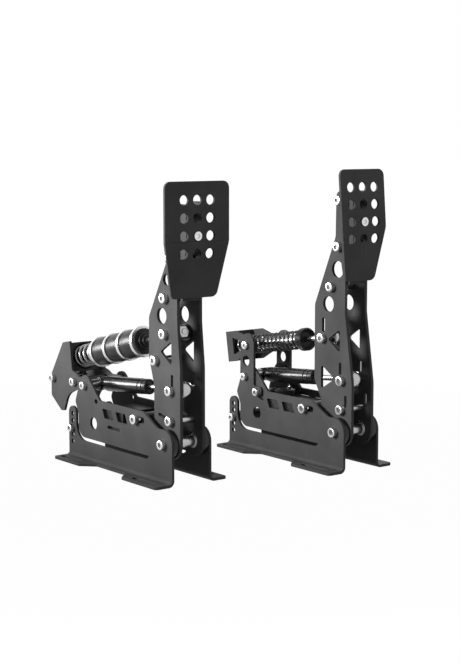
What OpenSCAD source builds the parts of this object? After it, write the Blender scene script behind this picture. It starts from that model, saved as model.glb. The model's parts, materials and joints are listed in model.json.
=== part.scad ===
// Two free-standing sim racing pedals on slotted sheet-metal bases: a wide brake with a washer and
// elastomer stack, and a narrow throttle with a long coil spring, each with a damper under it.
// Each pedal has its own local axes: X to the driver's right, Y to the rear, Z up,
// with X = 0 on its middle plane, Y = 0 on the base's front edge and Z = 0 on the rig.

/* [Stance] */
// Distance between the two pedals' middle planes
pedal_spacing = 178; // [150:1:320]
// How far the throttle's base stands in front of the brake's
throttle_ahead = 55; // [0:1:80]

/* [Base plates] */
// Length of a base along Y
base_len = 194; // [185:1:225]
// Width over the outer faces of the two upright plates
base_w = 49; // [44:0.5:60]
// Thickness of the base sheet
sheet = 3; // [2:0.5:4]
// Inside radius of the flange bend
bend_r = 3.5; // [2:0.5:4]
// Reach of each flange past its upright plate
flange_reach = 20; // [14:0.5:26]
// Reach of the flange's narrow middle
waist_reach = 6; // [5:0.5:10]
// Rear end of the front wide stretch of the flange
flange_front_len = 61; // [56:1:70]
// Length of the rear wide stretch of the flange
flange_rear_len = 51; // [46:1:58]
// Length of each slanted step in the flange
flange_step = 14; // [8:1:18]
// Height of the flat top edge of the upright plates
plate_top = 69.5; // [66:0.5:76]
// Where the flat top edge starts
plate_top_front = 51.5; // [46:0.5:60]

/* [Base slots and windows] */
// Width of the mounting slots in the flanges
rig_slot_w = 6.6; // [5:0.1:7]
// End to end length of the mounting slots
rig_slot_len = 38; // [20:1:40]
// Middle of the front mounting slots
rig_slot_front = 33; // [28:1:36]
// Distance between the front and rear mounting slots
rig_slot_spacing = 138; // [130:1:142]
// Top of the long slot above the flange
long_slot_top = 25.5; // [23:0.5:28]
// Height of the long slot
long_slot_h = 4; // [3:0.5:5]
// Front tip of the long slot
long_slot_tip = 39.5; // [36:1:50]
// Width of the rear tab
tab_w = 15; // [13:0.5:16]
// Gap between the rear tab and the plate in front of it
tab_gap = 4.8; // [4:0.2:8]
// Height of the lowest tab hole
tab_hole_z = 17.8; // [16:0.2:20]
// Pitch of the tab holes
tab_pitch = 7.6; // [7:0.1:8]
// Diameter of the tab holes
tab_hole_d = 5.3; // [5.2:0.1:6]
// Diameter of the large round hole
port_d = 13; // [8:0.5:16]
// Place of the large round hole
port = [144.3, 43.5]; // [35:0.5:150]
// Length of a window
window_len = 17.7; // [10:0.1:18]
// Height of a window
window_h = 10; // [6:0.5:11]
// Slant of a window's ends
window_lean = 4.2; // [0:0.2:6]
// Rear lower corner of the rear window
window_rear = 122.8; // [118:0.2:124]
// Distance from one window to the next
window_pitch = 25.4; // [24:0.1:28]
// Height of the windows' lower edge
window_z = 52; // [50:0.5:54]
// Length of the short slot in the brake's plates
trim_slot_len = 23; // [10:1:28]
// Width of the small slots in the arms' feet
foot_slot_w = 3.6; // [2:0.2:4.4]
// Length of the stop bar's adjusting slot
stop_slot_len = 17; // [10:0.5:18]

/* [Base bars] */
// Place of the stop bar
stop_bar = [62.6, 60.2]; // [56:0.2:66]
// Diameter of the rear bar and of the stop bar
bar_d = 12; // [9:0.5:13]
// Place of the pin that carries the damper's rear end
damper_pin = [160.5, 82.5]; // [80:0.5:164]
// Diameter of the damper's rear pin
damper_pin_d = 8; // [7:0.5:10]
// Radius of the lobe round the damper's rear pin
lobe_r = 11; // [8:0.5:12]
// Place of the small hole in front of the lobe
side_hole = [139, 67.8]; // [64:0.1:141]

/* [Pivot] */
// Place of the pedal pivot
pivot = [14.5, 41.5]; // [14:0.5:44]
// Diameter of the pivot shaft
shaft_d = 10; // [8:0.5:10.5]
// Outer diameter of the bearing tube between the arm plates
tube_d = 12; // [11.5:0.5:13.5]
// Diameter of the flanged ends of the bearing tube
bush_d = 15; // [14:0.5:20]
// Thickness of those flanged ends
bush_t = 1; // [1:0.1:2.5]
// Diameter of the black discs beside the arm
disc_d = 29; // [20:0.5:30]

/* [Arms] */
// Width over the outer faces of the arm plates
arm_w = 31; // [27:0.5:33]
// Thickness of the arm plates
arm_t = 3.5; // [2:0.5:4]
// Radius of an arm's rounded foot
foot_r = 16; // [15:0.5:17]
// Depth of an arm at its top
arm_top_depth = 15; // [14:0.5:18]
// Front edge of the brake arm's upper half
brake_front = 3; // [2:0.5:5]
// Height of the brake arm's top
brake_arm_top = 283; // [280:1:292]
// Rearmost edge of the brake arm
brake_belly = 52.2; // [50:0.2:56]
// Front edge of the throttle arm's upper half
throttle_front = 10; // [9:0.5:12]
// Height of the throttle arm's top
throttle_arm_top = 291; // [288:1:300]
// Rearmost edge of the throttle arm
throttle_belly = 57.6; // [55:0.2:62]
// Place of the damper's front pin on both arms
crank_pin = [13.5, 95]; // [12:0.5:96]
// Outer diameter of the silver spacers
spacer_d = 8; // [7.5:0.5:10]

/* [Pads] */
// Thickness of the pad plates
pad_t = 3; // [2:0.5:5]
// Half the brake pad's width at the top
brake_pad_half = 39; // [32:0.5:45]
// Half the brake pad's width at its lower edge
brake_pad_low_half = 27.5; // [22:0.5:32]
// Height of the brake pad's top above the arm's
brake_pad_rise = 20.5; // [18:0.5:26]
// Distance of the brake pad's front face in front of the arm
brake_pad_ahead = 13.6; // [12.6:0.2:16]
// Half the throttle pad's width at the top
throttle_pad_half = 30; // [26:0.5:36]
// Half the throttle pad's width at its lower edge
throttle_pad_low_half = 19.8; // [17:0.5:26]
// Height of the throttle pad's top above the arm's
throttle_pad_rise = 22.5; // [20:0.5:28]
// Distance of the throttle pad's front face in front of the arm
throttle_pad_ahead = 11.8; // [11:0.2:14]
// Distance from a pad's top to the bend across it
pad_bend_drop = 59.5; // [59:0.5:62]
// Distance from a pad's top to its lower edge
pad_height = 115; // [110:0.5:120]
// Radius of the bend across a pad's front
pad_bend_r = 40; // [20:1:60]
// How far a pad's lower edge lies behind its bend
pad_tuck = 6; // [2:0.5:6.5]
// How far the throttle pad's top leans back
throttle_pad_lean = 5; // [0:0.5:6]
// Diameter of the grip holes
grip_hole_d = 10; // [6:0.5:12]
// Sideways pitch of the grip holes
grip_pitch_x = 16; // [14:0.5:17]
// Upright pitch of the grip holes
grip_pitch_z = 17.6; // [15:0.1:18]
// Distance from a pad's top to its first row of grip holes
grip_drop = 18.3; // [14:0.1:20]
// Thickness of the bracket behind a pad
bracket_t = 2.8; // [2:0.2:4]

/* [Screws] */
// Thread diameter of the larger screws
large_d = 6; // [5.5:0.5:6]
// Head diameter of the larger screws
large_head_d = 10; // [9:0.5:11]
// Head height of the larger screws
large_head_h = 5.5; // [4:0.5:5.5]
// Thread diameter of the smaller screws
small_d = 5; // [4:0.5:5]
// Head diameter of the smaller screws
small_head_d = 8.5; // [7:0.5:9]
// Head height of the smaller screws
small_head_h = 5; // [3:0.5:6]

/* [Damper] */
// Outer diameter of the damper's body
damper_d = 16.5; // [14:0.5:17]
// Outer diameter of the damper's rear end
damper_rear_d = 14.4; // [12:0.2:15]
// Distance from the rear pin to the front of the body
damper_len = 75; // [68:0.5:80]
// Length of the end cap in front of the body
damper_cap_len = 13; // [8:0.5:14]
// Diameter of the damper's rod
damper_rod_d = 6; // [5:0.5:7]
// Diameter of the silver ball ends
ball_d = 18; // [14:0.2:19]
// Width of the silver ball ends
ball_w = 11; // [8:0.5:12]

/* [Brake stack] */
// Place of the brake rod's cross barrel in the brake arm
brake_pin = [23.2, 151]; // [22:0.2:152]
// Downward tilt of the stack towards the rear
stack_tilt = 13.85; // [12:0.05:15]
// Diameter of the cross barrel
barrel_d = 17; // [15:0.5:19]
// Diameter of the brake rod
brake_rod_d = 6; // [5:0.5:7]
// Diameter of the washers
washer_d = 33; // [30:0.5:34]
// Thickness of a washer
washer_t = 3.8; // [2:0.2:4]
// Diameter of the elastomers at their ends
rubber_d = 30; // [26:0.2:31]
// Length of an elastomer
rubber_len = 23; // [20:0.5:24]
// Distance from the cross barrel to the front washer
stack_start = 62; // [58:0.5:68]
// Length of the brake spring
brake_spring_len = 45; // [38:0.5:48]
// Outer diameter of the brake spring
brake_spring_d = 25; // [22:0.5:26]
// Wire diameter of the brake spring
brake_wire = 2.7; // [2:0.1:3]
// Turns of the brake spring
brake_turns = 6; // [4:1:7]

/* [Brake housing] */
// Thickness of the housing's cheeks
cheek_t = 3; // [2:0.5:4]
// Front crossing bar between the cheeks
cheek_bar_front = [185.9, 83]; // [80:0.2:188]
// Rear crossing bar between the cheeks
cheek_bar_rear = [229.1, 82.3]; // [80:0.2:231]
// Diameter of those bars
cheek_bar_d = 9; // [7:0.5:10]
// Thickness of the spring's seat plate and of its cup's floor
seat_t = 3; // [2:0.5:4]
// Outer diameter of the seat's cup
seat_cup_d = 32; // [30:0.5:34]
// Depth of the seat's cup in front of the load cell
seat_cup_deep = 10; // [8:0.5:14]
// Wall of the seat's cup
seat_wall = 2; // [1:0.2:2.4]
// Thickness of the ring-shaped load cell
cell_t = 5; // [4:0.5:7]
// Height of the housing's top front corner
cheek_top = 126.2; // [122:0.2:130]

/* [Throttle spring] */
// Place of the spring rod's pin in the throttle arm
throttle_pin = [43.6, 136.8]; // [42:0.2:138]
// Place of the trunnion that carries the spring's rear end
trunnion = [159.6, 117.5]; // [115:0.2:162]
// Diameter of the spring rod
spring_rod_d = 6; // [5:0.5:8]
// Distance from the rod's pin to the front of the knob
knob_start = 43; // [38:0.5:50]
// Length of the knob
knob_len = 9; // [8:0.5:14]
// Diameter of the knob
knob_d = 25; // [22:0.5:28]
// Depth of the knob's dished front
knob_dish = 4; // [2:0.5:5]
// Diameter of the guide sleeve in the spring
sleeve_d = 12; // [10:0.5:13]
// Outer diameter of the throttle spring
throttle_spring_d = 21; // [20:0.5:23]
// Wire diameter of the throttle spring
throttle_wire = 1.8; // [1.2:0.1:2.4]
// Turns of the throttle spring
throttle_turns = 16; // [10:1:18]

/* [Throttle carrier and sensor] */
// Width over the carrier's cheeks
carrier_w = 40; // [38:0.5:41]
// Thickness of the carrier's sheet
carrier_t = 2.5; // [2:0.5:3]
// Distance from the trunnion to the back of the carrier
carrier_len = 45; // [40:0.5:50]
// Half the carrier's height at the back
carrier_half = 17; // [15:0.5:18]
// Front and back edges of the throttle's ears
ear_edges = [146.4, 169.8]; // [144:0.2:172]
// Height of the ears above the carrier's trunnion
ear_rise = 13; // [10:0.5:14]
// How much further to the front the throttle plate's lobe begins
lobe_ahead = 7; // [0:0.5:8]
// Diameter of the round sensor housing
sensor_d = 29; // [20:0.5:34]
// Height of the round sensor housing
sensor_h = 10.5; // [6:0.5:11]

/* [Wiring boxes] */
// Front lower edge of the brake's signal box
signal_box_at = [91.8, 40]; // [38:0.2:94]
// Length and height of the brake's signal box
signal_box_size = [45, 23]; // [20:0.5:46]
// Wall of a wiring box's lid line
lid_inset = 2; // [1:0.5:3]
// Front edge of the throttle sensor's box
sensor_box_y = 77; // [76:0.5:90]
// Height of the throttle sensor's box
sensor_box_h = 13; // [8:0.5:14]

/* [Clearances] */
// Running clearance of a pin in its bore, on the radius
run_gap = 0.05; // [0.03:0.01:0.08]
// Side clearance between moving flat faces
side_gap = 0.4; // [0.3:0.1:0.6]
// Clearance of a screw in its hole, on the radius
screw_gap = 0.2; // [0.1:0.05:0.3]
// Clearance of a damper's front eye on its pin, on the radius
eye_gap = 0.6; // [0.5:0.1:1]
// Clearance of the throttle sleeve in the carrier, on the radius
sleeve_gap = 1.4; // [1.3:0.1:1.8]

/* [Hidden] */
$fn = 64;

// Anything drawn longer than needed so that a cut runs right through
over = 1;
// What stays straight between two arcs that nearly meet
nib = 0.1;
// Which pedal a shared module draws
brake = 0;
throttle = 1;

// Half widths across a pedal
base_out = base_w / 2;
base_in = base_out - sheet;
arm_out = arm_w / 2;
arm_in = arm_out - arm_t;

// Heights and places worked out on the base
flange_zone = sheet + bend_r;
tab_y = base_len - tab_w / 2;
tab_front = base_len - tab_w;
tab_screw_z = tab_hole_z + 2 * tab_pitch;
tab_top = tab_hole_z + 4 * tab_pitch + tab_w / 2 + 1;
lobe_top = damper_pin.y + lobe_r;
lobe_slope = 45;
lobe_foot = damper_pin.x - lobe_r * tan(lobe_slope / 2) - (lobe_top - plate_top);
heel = [tab_front + 1.5, damper_pin.y - 19.5];
heel_run = heel - damper_pin;
heel_slope = 90 - atan2(heel_run.y, heel_run.x) - acos(lobe_r / norm(heel_run));

// The damper's line, from its rear pin to its front pin
damper_run = damper_pin - crank_pin;
damper_tilt = atan2(-damper_run.y, damper_run.x);
damper_reach = norm(damper_run);
damper_front = damper_len + damper_cap_len;
damper_stroke = 16;

// The brake stack along its rod: distances are measured rearwards from the cross barrel
stack_pitch = washer_t + rubber_len;
stack_rear = stack_start + 3 * stack_pitch + washer_t;
seat_at = stack_rear + brake_spring_len;
seat_floor = seat_at + cell_t;
rod_rear = seat_floor + seat_t + 1;

// The throttle spring's line, from the rod's pin to the trunnion
spring_run = trunnion - throttle_pin;
spring_tilt = atan2(-spring_run.y, spring_run.x);
spring_reach = norm(spring_run);
knob_rear = knob_start + knob_len;
sleeve_start = knob_start + knob_dish + 1.5;
web_front = spring_reach + carrier_len - carrier_t;
ear_out = base_out + sheet;
carrier_out = carrier_w / 2;

// The pads: front face at the top, at the bend and at the lower edge
brake_face = brake_front - brake_pad_ahead;
throttle_face = throttle_front - throttle_pad_ahead;
function pad_half(p) = p == brake ? brake_pad_half : throttle_pad_half;
function pad_low_half(p) = p == brake ? brake_pad_low_half : throttle_pad_low_half;
function pad_top(p) = p == brake ? brake_arm_top + brake_pad_rise : throttle_arm_top + throttle_pad_rise;
function pad_face(p) = p == brake ? brake_face : throttle_face;
function pad_lean(p) = p == brake ? 0 : throttle_pad_lean;
function pad_line(p, back) = [
    [pad_face(p) + pad_tuck + back, pad_top(p) - pad_height],
    [pad_face(p) + back, pad_top(p) - pad_bend_drop],
    [pad_face(p) + pad_lean(p) + back, pad_top(p)]
];
function arm_front(p) = p == brake ? brake_front : throttle_front;
function arm_top(p) = p == brake ? brake_arm_top : throttle_arm_top;
// A height on an arm as its share of the way from the rod's pin up to the arm's top
function brake_z(share) = brake_pin.y + share * (brake_arm_top - brake_pin.y);
function throttle_z(share) = throttle_pin.y + share * (throttle_arm_top - throttle_pin.y);

// The pedals stand with the middle of their overall outline on the origin
cheek_back = 5.8;
rear_most = max(cheek_bar_rear.x + cheek_back, base_len);
front_most = min(-throttle_ahead + pivot.x - foot_r, -throttle_ahead + throttle_face, brake_face);
middle_y = (rear_most + front_most) / 2;
module at_brake() translate([-pedal_spacing / 2, -middle_y, 0]) children();
module at_throttle() translate([pedal_spacing / 2, -throttle_ahead - middle_y, 0]) children();
module at_pedal(p) {
    if (p == brake) at_brake() children();
    else at_throttle() children();
}

// Colours as the photograph shows them
powder = "#2b2c2e";
black = "#17181a";
zinc = "#c9cccf";
steel = "#a9adb1";
rubber = "#1e1e20";

// An outline from corners given as [y, z, radius], with each corner as an arc
function unit2(v) = v / norm(v);
function corner(a, p, b, r, n) = let (
    u = unit2([a[0] - p[0], a[1] - p[1]]),
    v = unit2([b[0] - p[0], b[1] - p[1]]),
    half = acos(max(-1, min(1, u * v))) / 2,
    c = [p[0], p[1]] + unit2(u + v) * (r / sin(half)),
    start = [p[0], p[1]] + u * (r / tan(half)) - c,
    stop = [p[0], p[1]] + v * (r / tan(half)) - c,
    a0 = atan2(start.y, start.x),
    turn = atan2(stop.y, stop.x) - a0,
    sweep = turn > 180 ? turn - 360 : (turn < -180 ? turn + 360 : turn)
) [for (i = [0 : n]) c + r * [cos(a0 + sweep * i / n), sin(a0 + sweep * i / n)]];
function outline(pts, n = 6) = [
    for (i = [0 : len(pts) - 1])
    let (p = pts[i], a = pts[(i + len(pts) - 1) % len(pts)], b = pts[(i + 1) % len(pts)])
    for (q = p[2] > 0 ? corner(a, p, b, p[2], n) : [[p[0], p[1]]]) q
];

// Shapes that repeat
module upright(x0, t) {
    // A plate in the YZ plane from x0 to x0 + t
    translate([x0, 0, 0])
        rotate([90, 0, 90])
            linear_extrude(t) children();
}
module across(at, half, d) {
    // A bar along X through a point of the YZ plane
    translate([-half, at.x, at.y])
        rotate([0, 90, 0])
            cylinder(h = 2 * half, d = d);
}
module across_tube(at, x0, x1, d, bore) {
    translate([x0, at.x, at.y])
        rotate([0, 90, 0])
            difference() {
                cylinder(h = x1 - x0, d = d);
                translate([0, 0, -over]) cylinder(h = x1 - x0 + 2 * over, d = bore);
            }
}
module both_sides() {
    children();
    mirror([1, 0, 0]) children();
}
module slot2d(a, b, w) {
    // A slot between two points with round ends
    along = unit2(b - a) * w / 2;
    aside = [-along.y, along.x];
    r = w / 2 - nib / 2;
    polygon(outline([
        for (q = [a - along - aside, b + along - aside, b + along + aside, a - along + aside])
            [q.x, q.y, r]
    ], 8));
}
module link(at, tilt) {
    // Axes of a part that slopes down towards the rear: local Z runs rearwards along it
    translate([0, at.x, at.y])
        rotate([-90 - tilt, 0, 0]) children();
}
module turned(d, bore, z0, z1) {
    translate([0, 0, z0])
        difference() {
            cylinder(h = z1 - z0, d = d);
            translate([0, 0, -over]) cylinder(h = z1 - z0 + 2 * over, d = bore);
        }
}
module cap_screw(at, face, d, head_d, head_h, reach) {
    // A socket cap screw on the left: its head stands on the plane x = -face, its shank runs inwards
    socket = 0.5 * head_d;
    translate([-face, at.x, at.y])
        rotate([0, 90, 0]) {
            difference() {
                translate([0, 0, -head_h]) cylinder(h = head_h, d = head_d);
                translate([0, 0, -head_h - over]) cylinder(h = 0.5 * head_h + over, d = socket, $fn = 6);
            }
            if (reach > 0) cylinder(h = reach, d = d);
        }
}

// Base plates
function lobe_shift(p) = p == throttle ? lobe_ahead : 0;
function base_edge(p) = [
    [0, flange_zone, 0],
    [0, pivot.y + pivot.x, pivot.x - nib],
    [pivot.x + 10.5, pivot.y + pivot.x, 8],
    [plate_top_front, plate_top, 8],
    [lobe_foot - lobe_shift(p), plate_top, 5],
    [damper_pin.x - lobe_r * tan(lobe_slope / 2) - lobe_shift(p), lobe_top, lobe_r - nib],
    [damper_pin.x + lobe_r * tan(heel_slope / 2), lobe_top, lobe_r - nib],
    [heel.x, heel.y, 5],
    [tab_front - tab_gap, heel.y - 13, 8],
    [tab_front - tab_gap, long_slot_top, 12],
    [long_slot_tip, long_slot_top, 0.6],
    [long_slot_tip + 1.5 * long_slot_h, long_slot_top - long_slot_h, 0.6],
    [tab_front, long_slot_top - long_slot_h, 12 + tab_gap],
    [tab_front, tab_top, tab_w / 2 - nib],
    [base_len, tab_top, tab_w / 2 - nib],
    [base_len, flange_zone, 0]
];
function flange_edge() = [
    [base_out + bend_r, 0, 0],
    [base_out + flange_reach, 0, 4],
    [base_out + flange_reach, flange_front_len, 2],
    [base_out + waist_reach, flange_front_len + flange_step, 2],
    [base_out + waist_reach, base_len - flange_rear_len - flange_step, 2],
    [base_out + flange_reach, base_len - flange_rear_len, 2],
    [base_out + flange_reach, base_len, 4],
    [base_out + bend_r, base_len, 0]
];
module window2d(rear_y) {
    polygon(outline([
        [rear_y, window_z, 0.8],
        [rear_y + window_lean, window_z + window_h, 0.8],
        [rear_y + window_lean - window_len, window_z + window_h, 0.8],
        [rear_y - window_len, window_z, 0.8]
    ], 2));
}
module upright_cuts(p) {
    for (i = [0 : 4]) {
        if (i != 2) translate([tab_y, tab_hole_z + i * tab_pitch]) circle(d = tab_hole_d);
    }
    translate([tab_y, tab_screw_z]) circle(d = small_d + 2 * screw_gap);
    translate(pivot) circle(d = large_d + 2 * screw_gap);
    translate(port) circle(d = port_d);
    translate(damper_pin) circle(d = small_d + 2 * screw_gap);
    translate(side_hole) circle(d = small_d + 2 * screw_gap);
    window2d(window_rear);
    window2d(window_rear - window_pitch);
    slot_w = large_d + 2 * screw_gap;
    slot2d(stop_bar, stop_bar - [stop_slot_len - slot_w, 0], slot_w);
    if (p == brake) {
        translate([window_rear - 6 - trim_slot_len, window_z - 10]) square([trim_slot_len, 3.4]);
    } else {
        slot2d(side_hole + [3, -6.2], side_hole + [-5.5, -8.4], 2);
    }
}
module base_plate(p) {
    // Drawn on the right: the upright, the bend and the flange of one folded sheet
    upright(base_in, sheet)
        difference() {
            polygon(outline(base_edge(p)));
            upright_cuts(p);
        }
    translate([base_out + bend_r, base_len, flange_zone])
        rotate([90, 0, 0])
            linear_extrude(base_len)
                intersection() {
                    difference() {
                        circle(r = flange_zone);
                        circle(r = bend_r);
                    }
                    translate([-flange_zone, -flange_zone]) square(flange_zone);
                }
    linear_extrude(sheet)
        difference() {
            polygon(outline(flange_edge(), 4));
            for (y = [rig_slot_front, rig_slot_front + rig_slot_spacing]) {
                half = (rig_slot_len - rig_slot_w) / 2;
                x = base_out + flange_reach / 2 + bend_r / 2;
                for (end = [-half, half]) translate([x, y + end]) circle(d = rig_slot_w);
                translate([x - rig_slot_w / 2, y - half]) square([rig_slot_w, 2 * half]);
            }
        }
}
module base_bars(p) {
    // The stop bar, and on the throttle a bar between the rear tabs as well
    across_tube(stop_bar, -base_in, base_in, bar_d, large_d + 2 * run_gap);
    if (p == throttle)
        across_tube([tab_y, tab_screw_z], -base_in, base_in, bar_d, small_d + 2 * run_gap);
}
module inner_nut(at) {
    // A hex nut inside the left plate, for a smaller screw
    translate([-base_in, at.x, at.y])
        rotate([0, 90, 0])
            difference() {
                cylinder(h = small_d * 0.8, d = small_head_d + 0.5, $fn = 6);
                cylinder(h = 2 * small_d, d = small_d + 2 * run_gap, center = true);
            }
}
module pivot_shaft() {
    across_tube(pivot, -base_in, base_in, shaft_d, large_d + 2 * run_gap);
}
module pivot_discs() {
    both_sides() {
        across_tube(pivot, arm_out + side_gap, base_in, disc_d, shaft_d + 2 * run_gap);
    }
}
module base_screws(p) {
    outer = p == throttle ? ear_out : base_out;
    both_sides() {
        cap_screw(pivot, base_out, large_d, large_head_d, large_head_h, sheet + 10);
        cap_screw(stop_bar, base_out, large_d, large_head_d, large_head_h, sheet + 10);
        cap_screw([tab_y, tab_screw_z], base_out, small_d, small_head_d, small_head_h,
                  p == brake ? sheet + 6 : sheet + 10);
        cap_screw(damper_pin, outer, small_d, small_head_d, small_head_h, outer - base_in + 8);
        if (p == throttle) {
            cap_screw(side_hole, outer, small_d, small_head_d, small_head_h, outer - base_in + 4);
            inner_nut(side_hole);
            trunnion_pin();
        } else {
            inner_nut([tab_y, tab_screw_z]);
            for (at = [cheek_bar_front, cheek_bar_rear])
                cap_screw(at, base_in, small_d, small_head_d, small_head_h, cheek_t + 10);
        }
    }
}
module trunnion_pin() {
    // The stub that carries the spring carrier: head outside the ear, collar between ear and carrier
    cap_screw(trunnion, ear_out, large_d, large_head_d - 1, large_head_h - 2, ear_out - carrier_out + 4);
    across_tube(trunnion, -base_out, -carrier_out - side_gap, large_head_d, large_d + 2 * run_gap);
}
module damper_rear_pin(p) {
    // The cross pin, with a spacer on each side of the damper's eye
    inner = p == brake ? base_in - cheek_t : base_in;
    across_tube(damper_pin, -base_in, base_in, damper_pin_d, small_d + 2 * run_gap);
    both_sides()
        across_tube(damper_pin, damper_rear_d / 2 + side_gap, inner, damper_pin_d + 4,
                    damper_pin_d + 2 * run_gap);
}

// Arms
brake_marks = [
    [[11, brake_arm_top - 12], "bracket"],
    [[12.5, brake_arm_top - 55], "bracket"],
    [[22.5, brake_z(0.273)], "full"],
    [brake_pin, "barrel"],
    [[38.9, 123], "full"],
    [crank_pin, "eye"],
    [[13.5, 64.5], "full"]
];
throttle_marks = [
    [[18.9, throttle_arm_top - 9.5], "bracket"],
    [[19.5, throttle_arm_top - 57], "bracket"],
    [[30.1, throttle_z(0.355)], "full"],
    [throttle_pin, "eye"],
    [crank_pin, "eye"],
    [[13.5, 64.5], "full"]
];
throttle_heel = throttle_pin.x + 3.2;
function marks(p) = p == brake ? brake_marks : throttle_marks;
function arm_edge(p) = let (
    foot = pivot.x - foot_r,
    front = arm_front(p),
    belly = p == brake ? brake_belly : throttle_belly,
    shin = p == brake ? 118 : 92,
    knee = p == brake ? brake_z(0.091) : throttle_z(0.19),
    neck = p == brake ? brake_z(0.583) : throttle_z(0.695),
    belly_top = p == brake ? brake_z(0.114) : throttle_z(0.225),
    belly_low = p == brake ? 124 : 91,
    heel_z = p == brake ? 97 : 72,
    heel_y = p == brake ? 43.6 : throttle_heel
) [
    [foot, pivot.y - foot_r, foot_r - nib],
    [foot, shin, 30],
    [front, knee, 30],
    [front, arm_top(p), 5],
    [front + arm_top_depth, arm_top(p), 6],
    [front + arm_top_depth + 0.7, neck, 10],
    [belly, belly_top, 10],
    [belly, belly_low, 13],
    [heel_y, heel_z, 10],
    [heel_y, pivot.y + foot_r, 6],
    [pivot.x + foot_r, pivot.y + 4, 6],
    [pivot.x + foot_r, pivot.y - foot_r, foot_r - nib]
];
module triangle2d(base_y, low, high, apex) {
    polygon(outline([[base_y, low, 1.6], [base_y, high, 1.6], [apex, (low + high) / 2, 1.6]], 3));
}
module arm_openings(p) {
    if (p == brake) {
        translate([29.7, brake_z(0.134)]) circle(d = 16.3);
        translate([21, brake_z(0.413)]) circle(d = 12);
        triangle2d(13.2, 120.5, 144.5, 32.5);
        slot2d([12.3, 100.4], [12.3, 109.4], 4);
        slot2d([26.2, 66.2], [34.3, 68.3], foot_slot_w);
    } else {
        translate([22, throttle_z(0.476)]) circle(d = 17.5);
        translate([36, throttle_z(0.235)]) circle(d = 16.5);
        slot2d([43.5, throttle_z(0.053)], [43.5, throttle_z(0.125)], 4.4);
        triangle2d(17.6, 123.5, 148, 36.5);
        slot2d([16.8, 102.5], [16.8, 111.5], 4);
        triangle2d(throttle_heel, 82.5, 108, 25.5);
        slot2d([8.1, 69], [8.1, 78], foot_slot_w);
    }
}
module arm_plate(p) {
    upright(arm_in, arm_t)
        difference() {
            polygon(outline(arm_edge(p)));
            arm_openings(p);
            translate(pivot) circle(d = tube_d + 2 * run_gap);
            for (m = marks(p))
                translate(m[0]) circle(d = large_d + (m[1] == "eye" ? 2 * run_gap : 2 * screw_gap));
        }
}
module bearing_tube() {
    across_tube(pivot, -arm_out, arm_out, tube_d, shaft_d + 2 * run_gap);
    both_sides()
        across_tube(pivot, arm_in - bush_t, arm_in, bush_d, tube_d - run_gap);
}
flange_out = arm_in - 0.1;
module arm_spacers(p) {
    bore = large_d + 2 * run_gap;
    for (m = marks(p)) {
        half = m[1] == "bracket" ? flange_out - bracket_t : arm_in;
        if (m[1] == "full" || m[1] == "bracket") across_tube(m[0], -half, half, spacer_d, bore);
        if (m[1] == "eye")
            both_sides() across_tube(m[0], ball_w / 2 + side_gap, arm_in, spacer_d, bore);
    }
}
module arm_screws(p) {
    reach_in = [for (m = marks(p)) m[1] == "eye" ? arm_w :
        (m[1] == "barrel" ? arm_t + side_gap + 6.5 : arm_t + bracket_t + 6)];
    for (i = [0 : len(marks(p)) - 1]) {
        m = marks(p)[i];
        cap_screw(m[0], arm_out, large_d, large_head_d, large_head_h, reach_in[i]);
        mirror([1, 0, 0])
            cap_screw(m[0], arm_out, large_d, large_head_d, large_head_h,
                      m[1] == "eye" ? 0 : reach_in[i]);
    }
}

// Pads and their brackets
function pad_bend_z(p) = pad_top(p) - pad_bend_drop;
function pad_low_z(p) = pad_top(p) - pad_height;
function grip_z(p, row) = pad_top(p) - grip_drop - row * grip_pitch_z;
function pad_y(p, z) = z > pad_bend_z(p)
    ? pad_face(p) + pad_lean(p) * (z - pad_bend_z(p)) / pad_bend_drop
    : pad_face(p) + pad_tuck * (pad_bend_z(p) - z) / (pad_height - pad_bend_drop);
screw_row = 2;
pad_head_d = grip_hole_d - 0.8;
pad_head_h = 3;
sink = pad_t / 2;
module pad(p) {
    front = pad_line(p, 0);
    back = pad_line(p, pad_t);
    deep = pad_tuck + pad_lean(p) + pad_t + 4 * over;
    difference() {
        intersection() {
            upright(-pad_half(p), 2 * pad_half(p))
                polygon(outline([
                    [front[0].x, front[0].y, 0],
                    [front[1].x, front[1].y, pad_bend_r],
                    [front[2].x, front[2].y, 0],
                    [back[2].x, back[2].y, 0],
                    [back[1].x, back[1].y, pad_bend_r - pad_t],
                    [back[0].x, back[0].y, 0]
                ]));
            translate([0, pad_face(p) + deep - over, 0])
                rotate([90, 0, 0])
                    linear_extrude(deep)
                        polygon(outline([
                            [-pad_low_half(p), pad_low_z(p), 7],
                            [-pad_half(p), pad_bend_z(p), 12],
                            [-pad_half(p), pad_top(p), 7],
                            [pad_half(p), pad_top(p), 7],
                            [pad_half(p), pad_bend_z(p), 12],
                            [pad_low_half(p), pad_low_z(p), 7]
                        ]));
        }
        for (row = [0 : 3])
            for (col = [-1 : 1])
                if (col != 0 || row != screw_row)
                    translate([col * grip_pitch_x, pad_face(p) + deep, grip_z(p, row)])
                        rotate([90, 0, 0]) cylinder(h = deep + 2 * over, d = grip_hole_d);
        translate([0, pad_face(p) + deep, grip_z(p, screw_row)])
            rotate([90, 0, 0]) cylinder(h = deep + 2 * over, d = small_d + 2 * screw_gap);
        translate([0, pad_y(p, grip_z(p, screw_row)) + sink, grip_z(p, screw_row)])
            rotate([90, 0, 0]) cylinder(h = deep, d = grip_hole_d);
    }
}
module pad_screw(p) {
    translate([0, pad_y(p, grip_z(p, screw_row)) + sink, grip_z(p, screw_row)])
        rotate([90, 0, 0]) {
            difference() {
                cylinder(h = pad_head_h, d = pad_head_d);
                translate([0, 0, pad_head_h / 2])
                    cylinder(h = pad_head_h, d = pad_head_d / 2, $fn = 6);
            }
            translate([0, 0, -pad_t - bracket_t - 2])
                cylinder(h = pad_t + bracket_t + 2 + over / 2, d = small_d);
        }
}
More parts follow.
